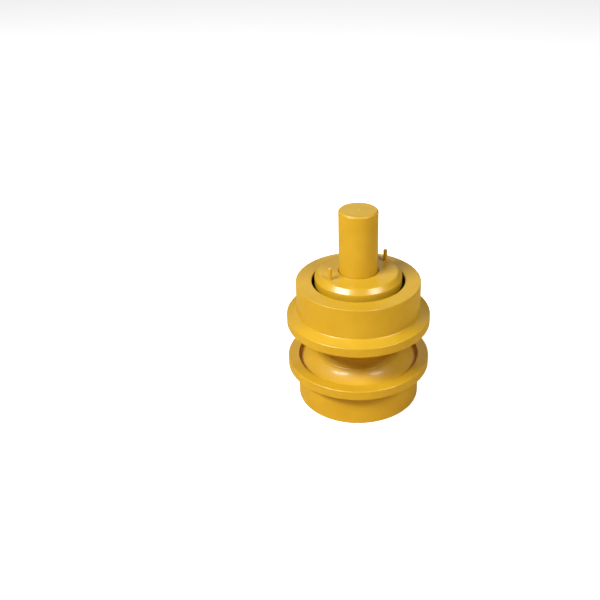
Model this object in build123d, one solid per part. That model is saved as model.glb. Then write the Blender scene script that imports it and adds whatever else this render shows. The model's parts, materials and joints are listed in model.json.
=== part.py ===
from build123d import *
from dataclasses import dataclass
from math import cos, radians, sin, tan
import os

# Carrier roller of a large track-type machine: a flanged shell that turns on two tapered roller bearings
# about a fixed shaft. Millimetres. +Z runs along the shaft, out of the open end.
# Origin: on the shaft's axis, in the plane of the closed end's rim.

# Shell, outside. Everything from the rim to the neck is the same on both halves.
ROLLER_WIDTH = 252.0
TREAD_RADIUS = 121.0
FLANGE_RADIUS = 140.6
FLANGE_THICKNESS = 18.8
FLANGE_GAP = 75.2
FLANGE_BEVEL_HEIGHT = 8.8
TREAD_FILLET = 3.0
RIM_EDGE_ROUND = 1.6
FLANGE_EDGE_ROUND = 2.0

# Groove between the flanges: a waist that sweeps out to a dished floor in each flange.
# A low ridge runs round it where the sweep has a given slope.
NECK_RADIUS = 78.5
SWEEP_RADIUS = 38.5
DISH_EDGE_RADIUS = 119.8
DISH_DEPTH = 10.4
DISH_CORNER_ROUND = 2.5
RIDGE_SLOPE = 61.0
RIDGE_SECTION_RADIUS = 4.0
RIDGE_PROUD = 0.4

# Shell, inside
NECK_BORE_RADIUS = 50.0
COVER_BORE_RADIUS = 97.0
COVER_SEAT_Z = 20.0
PLATE_CAVITY_RADIUS = 75.0
PLATE_CAVITY_TOP_Z = 57.0
SEAL_BORE_RADIUS = 90.6
CUP_BORE_TOP_Z = 205.0
BORE_EDGE_ROUND = 0.8

# Shaft
SHAFT_RADIUS = 37.5
SHAFT_TOP_Z = 397.0
SHAFT_END_CHAMFER = 2.9
SHAFT_END_ROUND = 0.5
COLLAR_SEAT_RADIUS = 38.5
COLLAR_SEAT_TOP_Z = 268.0
SHOULDER_RADIUS = 48.0
SHOULDER_LOW_Z = 206.0
SHOULDER_HIGH_Z = 216.0
WAIST_RADIUS = 36.5
WAIST_TOP_Z = 172.0
LOWER_SEAT_RADIUS = 30.0
LOWER_SEAT_TOP_Z = 92.0
SHAFT_BOTTOM_Z = 62.0
SHAFT_BOTTOM_CHAMFER = 1.5
SHAFT_STEP_ROUND = 1.0
CENTRE_DRILL_RADIUS = 3.0
CENTRE_PILOT_RADIUS = 1.4
CENTRE_PILOT_DEPTH = 9.0

# Seal collar
COLLAR_RADIUS = 84.4
COLLAR_TOP_Z = 272.1
COLLAR_BEVEL_HEIGHT = 10.7
COLLAR_FLAT_RADIUS = 75.8
COLLAR_HUB_RADIUS = 48.0
COLLAR_MOUTH_CHAMFER = 0.8
COLLAR_HUB_ROUND = 0.6
COLLAR_POCKET_TOP_Z = 247.0
COLLAR_POCKET_ROUND = 2.0
COLLAR_SKIRT_ROUND = 1.0
COLLAR_TOP_ROUND = 5.5
COLLAR_SIDE_ROUND = 2.8

# Dowel pins in the collar's outer face
DOWEL_RADIUS = 4.0
DOWEL_SEAT_RADIUS = 4.25
DOWEL_CIRCLE_RADIUS = 66.0
DOWEL_PROUD = 23.6
DOWEL_BURIED = 20.0
DOWEL_FIRST_ANGLE = 37.0
DOWEL_COUNT = 2
DOWEL_CHAMFER = 0.7

# Metal face seal: two iron rings meet in one plane, each carried by a rubber ring on a ramp.
SEAL_PLANE_Z = 228.0
SEAL_FACE_GAP = 0.04
SEAL_INNER_RADIUS = 53.0
SEAL_FACE_RADIUS = 67.0
SEAL_FACE_THICKNESS = 3.6
SEAL_RAMP = ((62.6, 5.0), (60.6, 13.5))
SEAL_RING_DEPTH = 14.8
SEAL_LIP_RADIUS = 61.8
SEAL_FACE_ROUND = 0.4
SEAL_BACK_ROUND = 0.8
SEAL_LIP_ROUND = 0.3
SEAL_INNER_ROUND = 0.6
SEAT_RAMP = ((72.0, 1.75), (70.0, 16.0))
TORIC_OFFSET = 9.3

# End cover
COVER_OUTER_Z = 6.0
COVER_EDGE_ROUND = 0.5
COVER_PLATEAU_Z = 4.2
COVER_STEPS = ((77.0, 0.0), (75.5, 0.7), (68.0, 0.9), (66.0, 1.8))
COVER_RIM_INNER_RADIUS = 70.0
COVER_RIM_SLOPE = 4.0
COVER_INNER_Z = 17.0
COVER_HUB_RADIUS = 24.0
COVER_HUB_DRAFT = 2.0
COVER_HUB_TOP_Z = 24.0
COVER_INNER_ROUND = 3.0
BOSS_OUTER_RADIUS = 36.5
BOSS_INNER_RADIUS = 27.6
BOSS_CROWN_Z = 1.0
BOSS_CROWN_FLAT = 1.2
BOSS_SIDE_DRAFT = 0.6
BOSS_FLOOR_ROUND = 1.0
BOSS_FLOOR_Z = 8.0
RING_WIRE_RADIUS = 1.95
RING_GAP_DEGREES = 14.0

# Filler plug
PLUG_THREAD_RADIUS = 12.0
PLUG_HEAD_RADIUS = 19.0
PLUG_HEAD_ROUND = 1.2
PLUG_END_CHAMFER = 1.5
PLUG_WASHER_RADIUS = 18.0
PLUG_WASHER_THICKNESS = 1.5
PLUG_HEAD_LOW_Z = 2.6
PLUG_SOCKET_ACROSS_FLATS = 17.0
PLUG_SOCKET_DEPTH = 11.0

# Bearing retainer at the shaft's inner end
PLATE_RADIUS = 40.0
PLATE_EDGE_ROUND = 2.0
PLATE_LOW_Z = 48.0
SHIM_RADIUS = 28.0
SHIM_COUNT = 4
BOLT_COUNT = 4
BOLT_CIRCLE_RADIUS = 18.0
BOLT_RADIUS = 6.0
BOLT_HEAD_ACROSS_FLATS = 18.0
BOLT_HEAD_HEIGHT = 7.5
BOLT_DEPTH_IN_SHAFT = 28.0
TAPPED_HOLE_DEPTH = 36.0
BOLT_CLEARANCE = 0.5
WASHER_RADIUS = 12.0
WASHER_THICKNESS = 2.5

# Fits and running gaps
STATIC_FIT = 0.01
ROLLING_GAP = 0.05
ROLLER_END_GAP = 0.2
TORIC_GAP = 0.25
THREAD_GAP = 0.02
ROUND_SEAL_GAP = 0.05

MID_Z = ROLLER_WIDTH / 2
NEAR_FLANGE_Z = MID_Z - FLANGE_GAP / 2
FAR_FLANGE_Z = NEAR_FLANGE_Z - FLANGE_THICKNESS
TREAD_END_Z = FAR_FLANGE_Z - FLANGE_BEVEL_HEIGHT
DISH_FLOOR_Z = NEAR_FLANGE_Z - DISH_DEPTH


@dataclass
class Bearing:
    """Single-row tapered roller bearing. The apex of its cones lies on the axis, past the thin ends."""

    name: str
    bore: float
    cup_radius: float
    cone_width: float
    cup_width: float
    total_width: float
    pitch_radius: float
    roller_half_length: float
    back_to_roller: float
    roller_count: int
    back_z: float
    faces_up: bool


SEAL_SIDE_BEARING = Bearing(
    name="seal_side",
    bore=SHAFT_RADIUS,
    cup_radius=65.0,
    cone_width=31.0,
    cup_width=27.0,
    total_width=33.25,
    pitch_radius=51.5,
    roller_half_length=10.5,
    back_to_roller=17.0,
    roller_count=18,
    back_z=SHOULDER_LOW_Z,
    faces_up=True,
)
COVER_SIDE_BEARING = Bearing(
    name="cover_side",
    bore=LOWER_SEAT_RADIUS,
    cup_radius=55.0,
    cone_width=28.0,
    cup_width=24.0,
    total_width=29.75,
    pitch_radius=43.0,
    roller_half_length=9.5,
    back_to_roller=15.5,
    roller_count=17,
    back_z=60.0,
    faces_up=False,
)
ROLLER_AXIS_ANGLE = 13.0
ROLLER_HALF_ANGLE = 2.0
CUP_ANGLE = ROLLER_AXIS_ANGLE + ROLLER_HALF_ANGLE
CONE_ANGLE = ROLLER_AXIS_ANGLE - ROLLER_HALF_ANGLE
ROLLER_CHAMFER = 0.6
THRUST_RIB_HEIGHT = 4.0
SMALL_RIB_HEIGHT = 1.6
RACE_EDGE_ROUND = 1.0
CUP_BACK_ROUND = 1.5
CAGE_INNER_ANGLE = 13.9
CAGE_OUTER_ANGLE = 14.4
CAGE_SMALL_OVERHANG = 4.2
CAGE_LARGE_OVERHANG = 3.0
CAGE_FLANGE_WIDTH = 5.0
CAGE_THICKNESS = 1.8
CAGE_POCKET_GAP = 0.3


# Shape helpers
def turned(*points):
    """Solid of revolution about Z. Each point is (radius, height) or (radius, height, corner round)."""
    corners = [point[:2] for point in points]
    rounds = [point[2] if len(point) > 2 else 0 for point in points]
    outline = FilletPolyline(*corners, radius=rounds, close=True)
    return revolve(Plane.XZ * make_face(outline), Axis.Z)


def stay(z, radius, length, up=True):
    """Cylinder on the axis that starts at height z and runs up, or down."""
    align = (Align.CENTER, Align.CENTER, Align.MIN if up else Align.MAX)
    return Pos(0, 0, z) * Cylinder(radius, length, align=align)


def on_circle(radius, count, first_angle=0.0):
    """Places evenly spaced on a circle about Z."""
    return [Rot(0, 0, first_angle + 360 * i / count) * Pos(radius, 0, 0) for i in range(count)]


def hexagon(across_flats):
    """Regular hexagon about the axis."""
    return RegularPolygon(across_flats / 2, 6, major_radius=False)


def ring(radius, section_radius, z):
    """Round-section ring about Z."""
    return Pos(0, 0, z) * Torus(radius, section_radius)


def from_apex(distance, angle):
    """(radius, height) of a point at a distance from a bearing's apex, on a line at an angle to its axis."""
    return distance * sin(radians(angle)), distance * cos(radians(angle))


def save(node, shape):
    """Write one sub-part."""
    shape.label = node
    export_step(shape, os.path.join("parts", node + ".step"))


# Roller shell
def outside_of_half():
    """Outline of the lower half's outside, from the rim up to the neck at mid-width."""
    return [
        (TREAD_RADIUS, 0, RIM_EDGE_ROUND),
        (TREAD_RADIUS, TREAD_END_Z, TREAD_FILLET),
        (FLANGE_RADIUS, FAR_FLANGE_Z, FLANGE_EDGE_ROUND),
        (FLANGE_RADIUS, NEAR_FLANGE_Z, FLANGE_EDGE_ROUND),
        (DISH_EDGE_RADIUS, NEAR_FLANGE_Z),
        (DISH_EDGE_RADIUS, DISH_FLOOR_Z, DISH_CORNER_ROUND),
        (NECK_RADIUS, DISH_FLOOR_Z, SWEEP_RADIUS),
        (NECK_RADIUS, MID_Z),
    ]


def groove_ridge():
    """Ring sunk in the lower half's sweep so that only its crown stands out."""
    slope = radians(RIDGE_SLOPE)
    reach = SWEEP_RADIUS + RIDGE_SECTION_RADIUS - RIDGE_PROUD
    radius = NECK_RADIUS + SWEEP_RADIUS - reach * sin(slope)
    z = DISH_FLOOR_Z + SWEEP_RADIUS - reach * cos(slope)
    return ring(radius, RIDGE_SECTION_RADIUS, z)


def cover_side_half():
    """Shell half with the cover's bore and its snap ring groove."""
    cup_back_z = COVER_SIDE_BEARING.back_z + COVER_SIDE_BEARING.total_width
    cup_bore = COVER_SIDE_BEARING.cup_radius + STATIC_FIT
    half = turned(
        (COVER_BORE_RADIUS, 0, BORE_EDGE_ROUND),
        *outside_of_half(),
        (NECK_BORE_RADIUS, MID_Z),
        (NECK_BORE_RADIUS, cup_back_z),
        (cup_bore, cup_back_z),
        (cup_bore, PLATE_CAVITY_TOP_Z),
        (PLATE_CAVITY_RADIUS, PLATE_CAVITY_TOP_Z),
        (PLATE_CAVITY_RADIUS, COVER_SEAT_Z),
        (COVER_BORE_RADIUS, COVER_SEAT_Z),
    )
    return half + groove_ridge() - ring(COVER_BORE_RADIUS, RING_WIRE_RADIUS + ROUND_SEAL_GAP, SNAP_RING_Z)


def seal_side_half():
    """Shell half with the open bore that the collar stands in."""
    cup_back_z = SEAL_SIDE_BEARING.back_z - SEAL_SIDE_BEARING.total_width
    cup_bore = SEAL_SIDE_BEARING.cup_radius + STATIC_FIT
    outside = [(point[0], ROLLER_WIDTH - point[1], *point[2:]) for point in outside_of_half()]
    (seat_mouth, mouth_depth), (seat_root, root_depth) = SEAT_RAMP
    half = turned(
        (SEAL_BORE_RADIUS, ROLLER_WIDTH, BORE_EDGE_ROUND),
        *outside,
        (NECK_BORE_RADIUS, MID_Z),
        (NECK_BORE_RADIUS, cup_back_z),
        (cup_bore, cup_back_z),
        (cup_bore, CUP_BORE_TOP_Z),
        (seat_root, CUP_BORE_TOP_Z),
        (seat_root, SEAL_PLANE_Z - root_depth),
        (seat_mouth, SEAL_PLANE_Z - mouth_depth),
        (SEAL_BORE_RADIUS, SEAL_PLANE_Z - mouth_depth),
    )
    return half + mirror(groove_ridge(), about=Plane.XY.offset(MID_Z))


# End cover, its rings and the filler plug
COVER_RADIUS = COVER_BORE_RADIUS - ROUND_SEAL_GAP
COVER_O_RING_SECTION = 1.9
COVER_O_RING_RADIUS = COVER_RADIUS - COVER_O_RING_SECTION
COVER_O_RING_Z = 14.0
COVER_GROOVE_HALF_WIDTH = 2.5
SNAP_RING_Z = COVER_OUTER_Z - RING_WIRE_RADIUS - ROUND_SEAL_GAP
PLUG_SEAT_Z = BOSS_FLOOR_Z
PLUG_HOLE_RADIUS = PLUG_THREAD_RADIUS + THREAD_GAP


def end_cover():
    """Turned cover: stepped plateau, round-topped boss about the filler plug, groove for its round seal."""
    groove_floor = COVER_O_RING_RADIUS - COVER_O_RING_SECTION - ROUND_SEAL_GAP
    groove_low = COVER_O_RING_Z - COVER_GROOVE_HALF_WIDTH
    groove_high = COVER_O_RING_Z + COVER_GROOVE_HALF_WIDTH
    crown_round = (BOSS_OUTER_RADIUS - BOSS_INNER_RADIUS - BOSS_CROWN_FLAT) / 2
    steps = [(radius, COVER_OUTER_Z - rise) for radius, rise in COVER_STEPS]
    return turned(
        (PLUG_HOLE_RADIUS, PLUG_SEAT_Z),
        (BOSS_INNER_RADIUS - BOSS_SIDE_DRAFT, PLUG_SEAT_Z, BOSS_FLOOR_ROUND),
        (BOSS_INNER_RADIUS, BOSS_CROWN_Z, crown_round),
        (BOSS_OUTER_RADIUS, BOSS_CROWN_Z, crown_round),
        (BOSS_OUTER_RADIUS + BOSS_SIDE_DRAFT, COVER_PLATEAU_Z),
        *reversed(steps),
        (COVER_RADIUS, COVER_OUTER_Z, COVER_EDGE_ROUND),
        (COVER_RADIUS, groove_low),
        (groove_floor, groove_low),
        (groove_floor, groove_high),
        (COVER_RADIUS, groove_high),
        (COVER_RADIUS, COVER_SEAT_Z),
        (COVER_RIM_INNER_RADIUS, COVER_SEAT_Z),
        (COVER_RIM_INNER_RADIUS - COVER_RIM_SLOPE, COVER_INNER_Z, COVER_INNER_ROUND),
        (COVER_HUB_RADIUS, COVER_INNER_Z, COVER_INNER_ROUND),
        (COVER_HUB_RADIUS - COVER_HUB_DRAFT, COVER_HUB_TOP_Z),
        (PLUG_HOLE_RADIUS, COVER_HUB_TOP_Z),
    )


def snap_ring():
    """Round-wire ring, split so that it can be sprung into its groove."""
    wire_radius = COVER_BORE_RADIUS - ROUND_SEAL_GAP
    section = Plane.XZ * Pos(wire_radius, SNAP_RING_Z) * Circle(RING_WIRE_RADIUS)
    return Rot(0, 0, RING_GAP_DEGREES) * revolve(section, Axis.Z, revolution_arc=360 - RING_GAP_DEGREES)


def filler_plug():
    """Round-headed plug with a hexagon socket."""
    head_top_z = PLUG_SEAT_Z - PLUG_WASHER_THICKNESS
    body = turned(
        (0, PLUG_HEAD_LOW_Z),
        (PLUG_HEAD_RADIUS, PLUG_HEAD_LOW_Z, PLUG_HEAD_ROUND),
        (PLUG_HEAD_RADIUS, head_top_z),
        (PLUG_THREAD_RADIUS, head_top_z),
        (PLUG_THREAD_RADIUS, COVER_HUB_TOP_Z - PLUG_END_CHAMFER),
        (PLUG_THREAD_RADIUS - PLUG_END_CHAMFER, COVER_HUB_TOP_Z),
        (0, COVER_HUB_TOP_Z),
    )
    return body - Pos(0, 0, PLUG_HEAD_LOW_Z) * extrude(hexagon(PLUG_SOCKET_ACROSS_FLATS), PLUG_SOCKET_DEPTH)


def plug_washer():
    """Soft washer under the plug's head."""
    washer = stay(PLUG_SEAT_Z, PLUG_WASHER_RADIUS, PLUG_WASHER_THICKNESS, up=False)
    return washer - stay(PLUG_SEAT_Z, PLUG_THREAD_RADIUS + BOLT_CLEARANCE, PLUG_WASHER_THICKNESS, up=False)


# Shaft
def shaft():
    """Stepped shaft with a thrust shoulder, tapped at its inner end and centre-drilled at its outer end."""
    waist_step = SHAFT_RADIUS - WAIST_RADIUS
    seat_step = COLLAR_SEAT_RADIUS - SHAFT_RADIUS
    body = turned(
        (0, SHAFT_BOTTOM_Z),
        (LOWER_SEAT_RADIUS - SHAFT_BOTTOM_CHAMFER, SHAFT_BOTTOM_Z),
        (LOWER_SEAT_RADIUS, SHAFT_BOTTOM_Z + SHAFT_BOTTOM_CHAMFER),
        (LOWER_SEAT_RADIUS, LOWER_SEAT_TOP_Z, SHAFT_STEP_ROUND),
        (WAIST_RADIUS, LOWER_SEAT_TOP_Z, SHAFT_STEP_ROUND),
        (WAIST_RADIUS, WAIST_TOP_Z),
        (SHAFT_RADIUS, WAIST_TOP_Z + waist_step),
        (SHAFT_RADIUS, SHOULDER_LOW_Z),
        (SHOULDER_RADIUS, SHOULDER_LOW_Z, SHAFT_STEP_ROUND),
        (SHOULDER_RADIUS, SHOULDER_HIGH_Z, SHAFT_STEP_ROUND),
        (COLLAR_SEAT_RADIUS, SHOULDER_HIGH_Z),
        (COLLAR_SEAT_RADIUS, COLLAR_SEAT_TOP_Z),
        (SHAFT_RADIUS, COLLAR_SEAT_TOP_Z + seat_step),
        (SHAFT_RADIUS, SHAFT_TOP_Z - SHAFT_END_CHAMFER, SHAFT_END_ROUND),
        (SHAFT_RADIUS - SHAFT_END_CHAMFER, SHAFT_TOP_Z, SHAFT_END_ROUND),
        (0, SHAFT_TOP_Z),
    )
    drill_depth = CENTRE_DRILL_RADIUS - CENTRE_PILOT_RADIUS
    centre = turned(
        (0, SHAFT_TOP_Z - CENTRE_PILOT_DEPTH),
        (CENTRE_PILOT_RADIUS, SHAFT_TOP_Z - CENTRE_PILOT_DEPTH),
        (CENTRE_PILOT_RADIUS, SHAFT_TOP_Z - drill_depth),
        (CENTRE_DRILL_RADIUS, SHAFT_TOP_Z),
        (0, SHAFT_TOP_Z),
    )
    body -= centre
    for place in on_circle(BOLT_CIRCLE_RADIUS, BOLT_COUNT):
        body -= place * stay(SHAFT_BOTTOM_Z, BOLT_RADIUS + THREAD_GAP, TAPPED_HOLE_DEPTH)
    return body


# Retainer plate, shims and their bolts
def drilled(plate):
    """Plate with a clearance hole for each retainer bolt."""
    for place in on_circle(BOLT_CIRCLE_RADIUS, BOLT_COUNT):
        plate -= place * stay(0, BOLT_RADIUS + BOLT_CLEARANCE, SHAFT_TOP_Z)
    return plate


def retainer_plate():
    """Thick disc that holds the cover-side bearing on the shaft."""
    back_z = COVER_SIDE_BEARING.back_z
    disc = turned(
        (0, PLATE_LOW_Z),
        (PLATE_RADIUS, PLATE_LOW_Z, PLATE_EDGE_ROUND),
        (PLATE_RADIUS, back_z),
        (0, back_z),
    )
    return drilled(disc)


def adjusting_shims():
    """Stack of thin discs between the plate and the shaft's end, which sets the bearings' preload."""
    low_z = COVER_SIDE_BEARING.back_z
    thickness = (SHAFT_BOTTOM_Z - low_z) / SHIM_COUNT
    shims = [drilled(stay(low_z + i * thickness, SHIM_RADIUS, thickness)) for i in range(SHIM_COUNT)]
    return Compound(children=shims)


def retainer_washers():
    """Hardened washers."""
    washer = stay(PLATE_LOW_Z, WASHER_RADIUS, WASHER_THICKNESS, up=False)
    washer -= stay(PLATE_LOW_Z, BOLT_RADIUS + BOLT_CLEARANCE, WASHER_THICKNESS, up=False)
    return Compound(children=[place * washer for place in on_circle(BOLT_CIRCLE_RADIUS, BOLT_COUNT)])


def retainer_bolts():
    """Hexagon-headed bolts."""
    head_top_z = PLATE_LOW_Z - WASHER_THICKNESS
    shank_length = SHAFT_BOTTOM_Z + BOLT_DEPTH_IN_SHAFT - head_top_z
    head = extrude(hexagon(BOLT_HEAD_ACROSS_FLATS), BOLT_HEAD_HEIGHT)
    bolt = Pos(0, 0, head_top_z - BOLT_HEAD_HEIGHT) * head + stay(head_top_z, BOLT_RADIUS, shank_length)
    return Compound(children=[place * bolt for place in on_circle(BOLT_CIRCLE_RADIUS, BOLT_COUNT)])


# Seal collar and its dowels
COLLAR_BORE_RADIUS = COLLAR_SEAT_RADIUS + STATIC_FIT
COLLAR_O_RING_SECTION = 1.95
COLLAR_O_RING_RADIUS = COLLAR_SEAT_RADIUS + COLLAR_O_RING_SECTION + ROUND_SEAL_GAP
COLLAR_O_RING_Z = 238.0
COLLAR_GROOVE_HALF_WIDTH = 2.6


def seal_collar():
    """Fixed collar on the shaft, open below to hold the upper half of the face seal."""
    groove_floor = COLLAR_O_RING_RADIUS + COLLAR_O_RING_SECTION + ROUND_SEAL_GAP
    groove_low = COLLAR_O_RING_Z - COLLAR_GROOVE_HALF_WIDTH
    groove_high = COLLAR_O_RING_Z + COLLAR_GROOVE_HALF_WIDTH
    (seat_mouth, mouth_depth), (seat_root, root_depth) = SEAT_RAMP
    body = turned(
        (COLLAR_BORE_RADIUS, SHOULDER_HIGH_Z),
        (COLLAR_HUB_RADIUS, SHOULDER_HIGH_Z, COLLAR_HUB_ROUND),
        (COLLAR_HUB_RADIUS, COLLAR_POCKET_TOP_Z, COLLAR_POCKET_ROUND),
        (seat_root, COLLAR_POCKET_TOP_Z, COLLAR_POCKET_ROUND),
        (seat_root, SEAL_PLANE_Z + root_depth),
        (seat_mouth, SEAL_PLANE_Z + mouth_depth),
        (COLLAR_RADIUS, SEAL_PLANE_Z + mouth_depth, COLLAR_SKIRT_ROUND),
        (COLLAR_RADIUS, COLLAR_TOP_Z - COLLAR_BEVEL_HEIGHT, COLLAR_SIDE_ROUND),
        (COLLAR_FLAT_RADIUS, COLLAR_TOP_Z, COLLAR_TOP_ROUND),
        (COLLAR_BORE_RADIUS + COLLAR_MOUTH_CHAMFER, COLLAR_TOP_Z),
        (COLLAR_BORE_RADIUS, COLLAR_TOP_Z - COLLAR_MOUTH_CHAMFER),
        (COLLAR_BORE_RADIUS, groove_high),
        (groove_floor, groove_high),
        (groove_floor, groove_low),
        (COLLAR_BORE_RADIUS, groove_low),
    )
    for place in on_circle(DOWEL_CIRCLE_RADIUS, DOWEL_COUNT, DOWEL_FIRST_ANGLE):
        body -= place * stay(COLLAR_TOP_Z, DOWEL_SEAT_RADIUS + STATIC_FIT, DOWEL_BURIED, up=False)
    return body


def dowel_pins():
    """Two pins that locate the collar in the machine's bracket, a little thicker where they're pressed in."""
    low_z = COLLAR_TOP_Z - DOWEL_BURIED
    high_z = COLLAR_TOP_Z + DOWEL_PROUD
    pin = turned(
        (0, low_z),
        (DOWEL_SEAT_RADIUS - DOWEL_CHAMFER, low_z),
        (DOWEL_SEAT_RADIUS, low_z + DOWEL_CHAMFER),
        (DOWEL_SEAT_RADIUS, COLLAR_TOP_Z),
        (DOWEL_RADIUS, COLLAR_TOP_Z),
        (DOWEL_RADIUS, high_z - DOWEL_CHAMFER),
        (DOWEL_RADIUS - DOWEL_CHAMFER, high_z),
        (0, high_z),
    )
    places = on_circle(DOWEL_CIRCLE_RADIUS, DOWEL_COUNT, DOWEL_FIRST_ANGLE)
    return Compound(children=[place * pin for place in places])


# Face seal. The fixed half is modelled, and the turning half is its mirror image.
SEAL_MIRROR = Plane.XY.offset(SEAL_PLANE_Z)


def fixed_seal_ring():
    """Iron ring: lapped face below, ramp for the rubber ring above."""
    (ramp_wide, ramp_low), (ramp_narrow, ramp_high) = SEAL_RAMP
    face_z = SEAL_PLANE_Z + SEAL_FACE_GAP / 2
    top_z = SEAL_PLANE_Z + SEAL_RING_DEPTH
    return turned(
        (SEAL_INNER_RADIUS, face_z),
        (SEAL_FACE_RADIUS, face_z, SEAL_FACE_ROUND),
        (SEAL_FACE_RADIUS, SEAL_PLANE_Z + SEAL_FACE_THICKNESS, SEAL_BACK_ROUND),
        (ramp_wide, SEAL_PLANE_Z + ramp_low, SEAL_BACK_ROUND),
        (ramp_narrow, SEAL_PLANE_Z + ramp_high),
        (SEAL_LIP_RADIUS, top_z, SEAL_LIP_ROUND),
        (SEAL_INNER_RADIUS, top_z, SEAL_INNER_ROUND),
    )


def fixed_toric_ring():
    """Rubber ring that fills the space between the iron ring's ramp and its seat."""
    inner = on_line(SEAL_RAMP, TORIC_OFFSET)
    outer = on_line(SEAT_RAMP, TORIC_OFFSET)
    section = (outer - inner) / 2 - TORIC_GAP
    return ring((outer + inner) / 2, section, SEAL_PLANE_Z + TORIC_OFFSET)


def on_line(line, depth):
    """Radius of a two-point (radius, depth) line at a depth."""
    (radius_a, depth_a), (radius_b, depth_b) = line
    return radius_a + (radius_b - radius_a) * (depth - depth_a) / (depth_b - depth_a)


# Tapered roller bearings. Each is drawn with its apex at the origin and its back face up, then put in place.
def apex_to_back(bearing):
    return bearing.pitch_radius / tan(radians(ROLLER_AXIS_ANGLE)) + bearing.back_to_roller


def roller_ends(bearing):
    """Distances from the apex, along a roller's own axis, to its two ends."""
    middle = bearing.pitch_radius / sin(radians(ROLLER_AXIS_ANGLE))
    return middle - bearing.roller_half_length, middle + bearing.roller_half_length


def put_in_place(bearing, shape):
    if bearing.faces_up:
        return Pos(0, 0, bearing.back_z - apex_to_back(bearing)) * shape
    return Pos(0, 0, bearing.back_z + apex_to_back(bearing)) * Rot(180, 0, 0) * shape


def rib_top(foot, height):
    """Top of a rib whose face is square to the rollers' axes."""
    angle = radians(ROLLER_AXIS_ANGLE)
    return foot[0] + height * cos(angle), foot[1] - height * sin(angle)


def bearing_cone(bearing):
    """Inner ring: raceway between a small rib and the thrust rib."""
    small_end, large_end = roller_ends(bearing)
    back = apex_to_back(bearing)
    front = back - bearing.cone_width
    stretch = 1 / cos(radians(ROLLER_HALF_ANGLE))
    small_foot = from_apex((small_end - ROLLER_END_GAP) * stretch, CONE_ANGLE)
    large_foot = from_apex((large_end + ROLLER_END_GAP) * stretch, CONE_ANGLE)
    small_top = rib_top(small_foot, SMALL_RIB_HEIGHT)
    large_top = rib_top(large_foot, THRUST_RIB_HEIGHT)
    bore = bearing.bore + STATIC_FIT
    return turned(
        (bore, front, RACE_EDGE_ROUND),
        (small_top[0], front),
        small_top,
        small_foot,
        large_foot,
        large_top,
        (large_top[0], back),
        (bore, back, RACE_EDGE_ROUND),
    )


def bearing_cup(bearing):
    """Outer ring."""
    back = apex_to_back(bearing) - bearing.total_width
    front = back + bearing.cup_width
    slope = tan(radians(CUP_ANGLE))
    return turned(
        (back * slope, back),
        (bearing.cup_radius, back, CUP_BACK_ROUND),
        (bearing.cup_radius, front, RACE_EDGE_ROUND),
        (front * slope, front),
    )


def tapered_blank(bearing, slack, corner):
    """One roller on its own axis. Slack makes it thicker and longer."""
    small_end, large_end = roller_ends(bearing)
    slope = tan(radians(ROLLER_HALF_ANGLE))
    low, high = small_end - max(slack, 0), large_end + max(slack, 0)
    return turned(
        (0, low),
        (small_end * slope + slack, low, corner),
        (large_end * slope + slack, high, corner),
        (0, high),
    )


def around(bearing, blank):
    """Copies of a roller, tilted to the apex and spread round the bearing."""
    tilted = Rot(0, ROLLER_AXIS_ANGLE, 0) * blank
    return [Rot(0, 0, 360 * i / bearing.roller_count) * tilted for i in range(bearing.roller_count)]


def bearing_rollers(bearing):
    return Compound(children=around(bearing, tapered_blank(bearing, -ROLLING_GAP, ROLLER_CHAMFER)))


def bearing_cage(bearing):
    """Pressed cage: a thin cone with a pocket for each roller and a small inward flange."""
    small_end, large_end = roller_ends(bearing)
    low = (small_end - CAGE_SMALL_OVERHANG) * cos(radians(ROLLER_AXIS_ANGLE))
    high = (large_end + CAGE_LARGE_OVERHANG) * cos(radians(ROLLER_AXIS_ANGLE))
    flange_top = low + CAGE_THICKNESS
    inner = tan(radians(CAGE_INNER_ANGLE))
    outer = tan(radians(CAGE_OUTER_ANGLE))
    flange_bore = low * inner - CAGE_FLANGE_WIDTH
    cage = turned(
        (flange_bore, low),
        (low * outer, low),
        (high * outer, high),
        (high * inner, high),
        (flange_top * inner, flange_top),
        (flange_bore, flange_top),
    )
    for pocket in around(bearing, tapered_blank(bearing, CAGE_POCKET_GAP, 0)):
        cage -= pocket
    return cage


def write_bearing(bearing):
    makers = {"cone": bearing_cone, "cup": bearing_cup, "rollers": bearing_rollers, "cage": bearing_cage}
    for piece, maker in makers.items():
        save(f"{bearing.name}_bearing_{piece}", put_in_place(bearing, maker(bearing)))


def main():
    os.makedirs("parts", exist_ok=True)
    save("shell_half_cover_side", cover_side_half())
    save("shell_half_seal_side", seal_side_half())
    save("end_cover", end_cover())
    save("end_cover_o_ring", ring(COVER_O_RING_RADIUS, COVER_O_RING_SECTION, COVER_O_RING_Z))
    save("snap_ring", snap_ring())
    save("filler_plug", filler_plug())
    save("plug_washer", plug_washer())
    save("shaft", shaft())
    save("retainer_plate", retainer_plate())
    save("adjusting_shims", adjusting_shims())
    save("retainer_washers", retainer_washers())
    save("retainer_bolts", retainer_bolts())
    save("seal_collar", seal_collar())
    save("collar_o_ring", ring(COLLAR_O_RING_RADIUS, COLLAR_O_RING_SECTION, COLLAR_O_RING_Z))
    save("dowel_pins", dowel_pins())
    save("fixed_seal_ring", fixed_seal_ring())
    save("turning_seal_ring", mirror(fixed_seal_ring(), about=SEAL_MIRROR))
    save("fixed_toric_ring", fixed_toric_ring())
    save("turning_toric_ring", mirror(fixed_toric_ring(), about=SEAL_MIRROR))
    write_bearing(SEAL_SIDE_BEARING)
    write_bearing(COVER_SIDE_BEARING)


main()
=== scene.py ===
import json
import math

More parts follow.
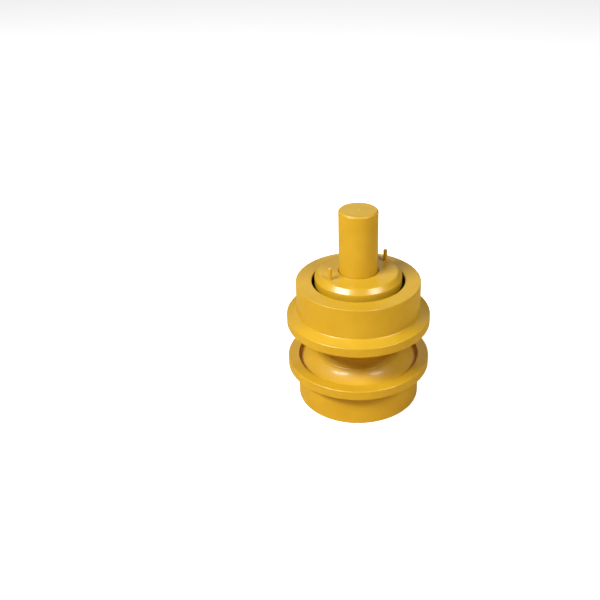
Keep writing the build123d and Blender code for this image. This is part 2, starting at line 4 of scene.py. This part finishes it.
import bpy
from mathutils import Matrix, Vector


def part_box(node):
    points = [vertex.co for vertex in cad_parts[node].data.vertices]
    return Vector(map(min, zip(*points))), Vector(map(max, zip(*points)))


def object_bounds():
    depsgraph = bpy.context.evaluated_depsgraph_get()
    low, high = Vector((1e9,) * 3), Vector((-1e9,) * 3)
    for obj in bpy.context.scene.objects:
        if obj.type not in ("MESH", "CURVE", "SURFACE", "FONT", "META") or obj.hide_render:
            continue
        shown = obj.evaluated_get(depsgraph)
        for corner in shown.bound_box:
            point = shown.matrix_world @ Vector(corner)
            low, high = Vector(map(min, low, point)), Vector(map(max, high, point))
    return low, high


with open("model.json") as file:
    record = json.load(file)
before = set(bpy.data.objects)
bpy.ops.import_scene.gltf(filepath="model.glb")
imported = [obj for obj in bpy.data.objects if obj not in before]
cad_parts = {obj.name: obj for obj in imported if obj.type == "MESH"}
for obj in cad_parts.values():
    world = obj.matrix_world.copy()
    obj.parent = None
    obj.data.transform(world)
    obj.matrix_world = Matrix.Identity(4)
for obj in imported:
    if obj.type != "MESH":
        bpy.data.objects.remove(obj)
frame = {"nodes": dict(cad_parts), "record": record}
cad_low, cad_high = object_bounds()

# A track roller that stands on its closed end with its bare shaft up. Its visible surfaces are the
# CAD's own: this script gives every node its material, and adds the floor, the light and the camera.
# Metres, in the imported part's own frame: +Z up the shaft, origin in the plane of the closed end's rim.

# ---------------------------------------------------------------- heights read from the frame
shell_low, shell_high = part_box("shell_half_seal_side")
MID_Z = shell_low[2]  # the plane in which the two halves of the shell meet
RIM_Z = shell_high[2]  # the upper rim, round the seal collar

# ---------------------------------------------------------------- node helpers


class Graph:
    """A material's node tree, with short ways to add nodes and join them."""

    def __init__(self, name):
        self.material = bpy.data.materials.new(name)
        self.material.use_nodes = True
        self.nodes = self.material.node_tree.nodes
        self.links = self.material.node_tree.links
        self.shader = self.nodes["Principled BSDF"]

    def add(self, kind, inputs=None, **settings):
        node = self.nodes.new(kind)
        for key, value in settings.items():
            setattr(node, key, value)
        for key, value in (inputs or {}).items():
            self.put(node.inputs[key], value)
        return node

    def put(self, socket, value):
        """Joins an output to a socket, or sets the socket's own value."""
        if isinstance(value, bpy.types.NodeSocket):
            self.links.new(value, socket)
        else:
            socket.default_value = value

    def math(self, operation, a, b=0.0, clamp=False):
        node = self.add("ShaderNodeMath", operation=operation, use_clamp=clamp)
        self.put(node.inputs[0], a)
        self.put(node.inputs[1], b)
        return node.outputs[0]

    def mix(self, factor, first, second):
        """The first colour where the factor is 0, the second where it is 1."""
        inputs = {"Fac": factor, "Color1": first, "Color2": second}
        return self.add("ShaderNodeMixRGB", inputs).outputs["Color"]

    def place(self):
        """Object coordinates, in metres in the part's frame."""
        return self.add("ShaderNodeTexCoord").outputs["Object"]

    def radius_and_height(self):
        """Distance from the axis, and height, in metres."""
        parts = self.add("ShaderNodeSeparateXYZ", {"Vector": self.place()}).outputs
        square_x = self.math("POWER", parts["X"], 2.0)
        square_y = self.math("POWER", parts["Y"], 2.0)
        return self.math("SQRT", self.math("ADD", square_x, square_y)), parts["Z"]

    def noise(self, size, detail=3.0, roughness=0.5, vector=None):
        """Noise from 0 to 1 whose lumps are about the given size in metres."""
        inputs = {"Scale": 1.0 / size, "Detail": detail, "Roughness": roughness}
        inputs["Vector"] = vector if vector is not None else self.place()
        return self.add("ShaderNodeTexNoise", inputs).outputs["Fac"]

    def turning_marks(self, pitch):
        """Fine rings round the axis, as a lathe tool leaves. They fade in and out on the way round."""
        radius, height = self.radius_and_height()
        across = self.add("ShaderNodeCombineXYZ", {"X": radius, "Y": height}).outputs[0]
        rings = self.noise(pitch, detail=2.0, vector=across)
        return self.math("MULTIPLY", rings, self.spread(self.noise(MARKS_FADE_SIZE), 0.4, 1.0))

    def ramp(self, value, stops):
        """Colours along a value. Each stop is (position, colour)."""
        node = self.add("ShaderNodeValToRGB", {"Fac": value})
        elements = node.color_ramp.elements
        for element, (position, colour) in zip(elements, stops):
            element.position = position
            element.color = colour
        return node.outputs["Color"]

    def spread(self, value, low, high):
        """Maps 0..1 to low..high."""
        inputs = {"Value": value, "To Min": low, "To Max": high}
        return self.add("ShaderNodeMapRange", inputs).outputs[0]

    def bump(self, height, distance, strength):
        inputs = {"Height": height, "Distance": distance, "Strength": strength}
        return self.add("ShaderNodeBump", inputs).outputs["Normal"]

    def surface(self, **inputs):
        """Sets the shader's inputs. Underscores stand for spaces."""
        for key, value in inputs.items():
            self.put(self.shader.inputs[key.replace("_", " ")], value)
        return self.material


def grey(value):
    return (value, value, value, 1.0)


# ---------------------------------------------------------------- masks on the paint
# The seal gap mask darkens the paint to painted shade. The groove mask changes only gloss and relief.
GAP_RADIUS = 0.0912  # just outside the shell's bore
GAP_LOW_Z = 0.2  # the gap's faces are all above this
GAP_DEPTH = 0.0052  # below the rim, where the painted shade begins
GAP_WANDER_SIZE = 0.012
GAP_WANDER = 0.0012  # how far the painted shade's edge strays up and down
GAP_FADE = 900.0  # per metre: full strength a little over 1 mm below the edge


def seal_gap_shade_mask(g):
    """1 on the faces down in the narrow gap between the collar and the shell, 0 elsewhere. There the
    paint is darkened to painted shade.
    """
    radius, place_z = g.radius_and_height()
    inside = g.math("LESS_THAN", radius, GAP_RADIUS)
    above = g.math("GREATER_THAN", place_z, GAP_LOW_Z)
    lumps = g.noise(GAP_WANDER_SIZE, detail=3.0, roughness=0.6)
    wander = g.spread(lumps, -GAP_WANDER, GAP_WANDER)
    depth = g.math("SUBTRACT", RIM_Z - GAP_DEPTH, g.math("ADD", place_z, wander))
    below = g.math("MULTIPLY", depth, GAP_FADE, clamp=True)
    return g.math("MULTIPLY", g.math("MULTIPLY", inside, above), below)


GROOVE_RADIUS = 0.1195  # just inside the edge of the dish in each flange's inner face
GROOVE_HALF_WIDTH = 0.049  # from the middle of the shell to just past the dish's floor


def in_groove(g):
    """1 in the groove between the flanges, 0 elsewhere."""
    radius, place_z = g.radius_and_height()
    from_middle = g.math("ABSOLUTE", g.math("SUBTRACT", place_z, MID_Z))
    inside = g.math("LESS_THAN", radius, GROOVE_RADIUS)
    return g.math("MULTIPLY", inside, g.math("LESS_THAN", from_middle, GROOVE_HALF_WIDTH))


# ---------------------------------------------------------------- materials
PAINT_LIGHT = (0.665, 0.400, 0.020, 1.0)
PAINT_DEEP = (0.600, 0.345, 0.012, 1.0)
# Painted shade: near black, laid on the paint down in the seal gap, where shade falls.
SEAL_GAP_PAINTED_SHADE = (0.010, 0.006, 0.004, 1.0)
DRIFT_SIZE = 0.05
GLOSS_PATCH_SIZE = 0.03

# Turning marks: the distance between rings, and their weight in the paint's relief.
MARKS_FADE_SIZE = 0.03
FINE_PITCH, FINE_WEIGHT = 0.0018, 0.3
COARSE_PITCH, COARSE_WEIGHT = 0.0045, 3.0

# Orange peel: long soft waves with a finer skin on them.
WAVE_SIZE = 0.018
SKIN_SIZE, SKIN_WEIGHT = 0.0022, 0.35
PAINT_RELIEF, PAINT_RELIEF_STRENGTH = 0.00012, 0.5

COAT, GROOVE_COAT = 0.5, 0.3
GROOVE_EXTRA_ROUGHNESS = 0.2


def yellow_paint(name, grooved=False):
    """Thick gloss enamel: slow drift of colour, fine orange peel, gloss that varies a little, and
    near-black painted shade down in the seal gap.

    In the groove the turning marks are coarser and the paint has less gloss.
    """
    g = Graph(name)
    drift = g.noise(DRIFT_SIZE, detail=4.0, roughness=0.55)
    clean = g.ramp(drift, [(0.25, PAINT_DEEP), (0.72, PAINT_LIGHT)])
    marks = g.math("MULTIPLY", g.turning_marks(FINE_PITCH), FINE_WEIGHT)
    rough = g.spread(g.noise(GLOSS_PATCH_SIZE, detail=5.0, roughness=0.6), 0.30, 0.42)
    coat = COAT
    if grooved:
        groove = in_groove(g)
        coarse_weight = g.math("MULTIPLY", groove, COARSE_WEIGHT)
        coarse = g.math("MULTIPLY", g.turning_marks(COARSE_PITCH), coarse_weight)
        marks = g.math("ADD", marks, coarse)
        rough = g.math("ADD", rough, g.math("MULTIPLY", groove, GROOVE_EXTRA_ROUGHNESS))
        coat = g.spread(groove, COAT, GROOVE_COAT)
    skin = g.math("MULTIPLY", g.noise(SKIN_SIZE, detail=2.0, roughness=0.4), SKIN_WEIGHT)
    peel = g.math("ADD", skin, g.noise(WAVE_SIZE, detail=2.0, roughness=0.4))
    relief = g.bump(g.math("ADD", peel, marks), PAINT_RELIEF, PAINT_RELIEF_STRENGTH)
    return g.surface(
        # Base colour: the paint's own drifting tone, with near-black painted shade down in the seal gap.
        Base_Color=g.mix(seal_gap_shade_mask(g), clean, SEAL_GAP_PAINTED_SHADE),
        Roughness=rough,
        Coat_Weight=coat,
        Coat_Roughness=0.2,
        Specular_IOR_Level=0.5,
        Normal=relief,
        Coat_Normal=relief,
    )


STREAK_SQUEEZE = (1.0, 1.0, 40.0)  # draws the streaks out round the axis
STREAK_SIZE, STREAK_WEIGHT = 0.02, 0.6
BLOTCH_SIZE, BLOTCH_WEIGHT = 0.015, 0.4
STREAK_RELIEF, STREAK_RELIEF_STRENGTH = 0.00004, 0.6


def bare_metal(name, light, dark, low_rough, high_rough):
    """Ground or turned metal with faint streaks round the axis."""
    g = Graph(name)
    mapping = {"Vector": g.place(), "Scale": STREAK_SQUEEZE}
    squeezed = g.add("ShaderNodeMapping", mapping).outputs[0]
    streaks = g.noise(STREAK_SIZE, detail=4.0, roughness=0.6, vector=squeezed)
    blotches = g.noise(BLOTCH_SIZE, detail=4.0, roughness=0.6)
    mixed = g.math(
        "ADD",
        g.math("MULTIPLY", streaks, STREAK_WEIGHT),
        g.math("MULTIPLY", blotches, BLOTCH_WEIGHT),
    )
    return g.surface(
        Base_Color=g.ramp(mixed, [(0.3, dark), (0.7, light)]),
        Metallic=1.0,
        Roughness=g.spread(mixed, low_rough, high_rough),
        Normal=g.bump(streaks, STREAK_RELIEF, STREAK_RELIEF_STRENGTH),
    )


BLOOM_SIZE = 0.008
GRAIN_SIZE = 0.0008
GRAIN_RELIEF, GRAIN_RELIEF_STRENGTH = 0.00005, 0.5


def seal_rubber():
    """Black rubber with a faint grey bloom."""
    g = Graph("seal_rubber")
    bloom = g.noise(BLOOM_SIZE, detail=4.0, roughness=0.6)
    return g.surface(
        Base_Color=g.ramp(bloom, [(0.3, grey(0.012)), (0.75, grey(0.03))]),
        Roughness=g.spread(bloom, 0.5, 0.72),
        Normal=g.bump(g.noise(GRAIN_SIZE), GRAIN_RELIEF, GRAIN_RELIEF_STRENGTH),
    )


COPPER_LIGHT = (0.75, 0.36, 0.21, 1)
COPPER_DARK = (0.6, 0.25, 0.13, 1)

# Each metal has its light and dark tone, then its lowest and highest roughness.
METALS = {
    "bearing_steel": (grey(0.62), grey(0.50), 0.12, 0.24),
    "cage_steel": (grey(0.36), grey(0.24), 0.3, 0.45),
    "machined_steel": (grey(0.50), grey(0.36), 0.25, 0.4),
    "bolt_steel": (grey(0.10), grey(0.05), 0.4, 0.55),
    "seal_iron": (grey(0.28), grey(0.19), 0.2, 0.35),
    "copper_washer": (COPPER_LIGHT, COPPER_DARK, 0.25, 0.4),
}

plain_paint = yellow_paint("plain_paint")
MATERIALS = {
    "roller_paint": yellow_paint("roller_paint", grooved=True),
    "shaft_paint": plain_paint,
    "cover_paint": plain_paint,
    "pin_paint": plain_paint,
    "seal_rubber": seal_rubber(),
}
for slot_name, look in METALS.items():
    MATERIALS[slot_name] = bare_metal(slot_name, *look)

for entry in frame["record"]["subparts"]:
    node = frame["nodes"][entry["node"]]
    for material_slot in node.material_slots:
        material_slot.material = MATERIALS[entry["material_slot"]]

# ---------------------------------------------------------------- floor, light and camera
FLOOR_HALF = 6.0
FLOOR_GAP = 0.0002  # below the rim that stands on it, so that the two never share a plane
FLOOR_PATCH_SIZE = 0.5
FLOOR_SEEN_LOW, FLOOR_SEEN_HIGH = grey(0.86), grey(0.9)
FLOOR_BOUNCE = (0.66, 0.48, 0.14, 1.0)
FLOOR_GLOW = 0.7


def floor():
    """Pale and evenly lit to the camera. The light it throws back on the object is warm."""
    half = FLOOR_HALF
    corners = [(-half, -half, 0), (half, -half, 0), (half, half, 0), (-half, half, 0)]
    mesh = bpy.data.meshes.new("floor")
    mesh.from_pydata(corners, [], [(0, 1, 2, 3)])
    plane = bpy.data.objects.new("floor", mesh)
    bpy.context.scene.collection.objects.link(plane)
    plane.location.z = cad_low[2] - FLOOR_GAP
    g = Graph("floor")
    seen = g.add("ShaderNodeLightPath").outputs["Is Camera Ray"]
    stops = [(0.0, FLOOR_SEEN_LOW), (1.0, FLOOR_SEEN_HIGH)]
    tone = g.ramp(g.noise(FLOOR_PATCH_SIZE), stops)
    material = g.surface(
        Base_Color=g.mix(seen, FLOOR_BOUNCE, tone),
        Roughness=0.7,
        Specular_IOR_Level=0.0,
        Emission_Color=grey(1.0),
        Emission_Strength=g.math("MULTIPLY", seen, FLOOR_GLOW),
    )
    mesh.materials.append(material)


AMBIENT = 0.03  # what the surroundings light the object with
BACKDROP_SEEN = 0.95  # how pale they are to the camera


def surroundings():
    """Even faint light from all round, behind a backdrop as pale as the floor."""
    world = bpy.data.worlds.new("studio")
    world.use_nodes = True
    nodes, links = world.node_tree.nodes, world.node_tree.links
    background = nodes["Background"]
    background.inputs["Color"].default_value = grey(1.0)
    seen = nodes.new("ShaderNodeLightPath").outputs["Is Camera Ray"]
    level = nodes.new("ShaderNodeMapRange")
    level.inputs["To Min"].default_value = AMBIENT
    level.inputs["To Max"].default_value = BACKDROP_SEEN
    links.new(seen, level.inputs["Value"])
    links.new(level.outputs[0], background.inputs["Strength"])
    bpy.context.scene.world = world


def softbox(name, azimuth, elevation, distance, width, height, power, mirrored=True):
    """Area light in watts, aimed at the middle of the object.

    Azimuth and elevation are in degrees. Azimuth 0 is on the camera's side, and 90 to its right.
    Gloss doesn't show a light that isn't mirrored.
    """
    a, e = math.radians(azimuth), math.radians(elevation)
    towards = Vector((math.sin(a) * math.cos(e), -math.cos(a) * math.cos(e), math.sin(e)))
    light = bpy.data.lights.new(name, "AREA")
    light.shape = "RECTANGLE"
    light.size, light.size_y, light.energy = width, height, power
    lamp = bpy.data.objects.new(name, light)
    lamp.location = (cad_low + cad_high) / 2 + towards * distance
    lamp.visible_glossy = mirrored
    lamp.rotation_mode = "QUATERNION"
    lamp.rotation_quaternion = towards.to_track_quat("Z", "Y")
    bpy.context.scene.collection.objects.link(lamp)


CAMERA_PITCH = 26.51  # degrees below level
CAMERA_PLACE = Vector((0, -1.333, 0.833))  # from the middle of the roller's width
CAMERA_SHIFT = (-0.0973, -0.0675)
SENSOR_WIDTH = 36.0  # mm
LENS_TO_SENSOR = 1.30368


def camera():
    """Looks along +Y and down, as the photograph does."""
    data = bpy.data.cameras.new("camera")
    data.sensor_width = SENSOR_WIDTH
    data.lens = SENSOR_WIDTH * LENS_TO_SENSOR
    data.shift_x, data.shift_y = CAMERA_SHIFT
    viewer = bpy.data.objects.new("camera", data)
    viewer.location = Vector((0, 0, MID_Z)) + CAMERA_PLACE
    viewer.rotation_euler = (math.pi / 2 - math.radians(CAMERA_PITCH), 0, 0)
    bpy.context.scene.collection.objects.link(viewer)
    bpy.context.scene.camera = viewer


floor()
surroundings()
softbox("key", azimuth=-51, elevation=45, distance=5.0, width=2.70, height=1.05, power=288.0)
softbox("fill", azimuth=52, elevation=45, distance=5.0, width=2.10, height=1.05, power=116.0)
softbox("rear", azimuth=180, elevation=33, distance=2.4, width=4.50, height=1.20, power=7.0)
softbox(
    "back", azimuth=180, elevation=2, distance=3.0, width=2.50, height=0.50, power=34.0, mirrored=False
)
camera()
bpy.context.scene.view_settings.view_transform = "Standard"
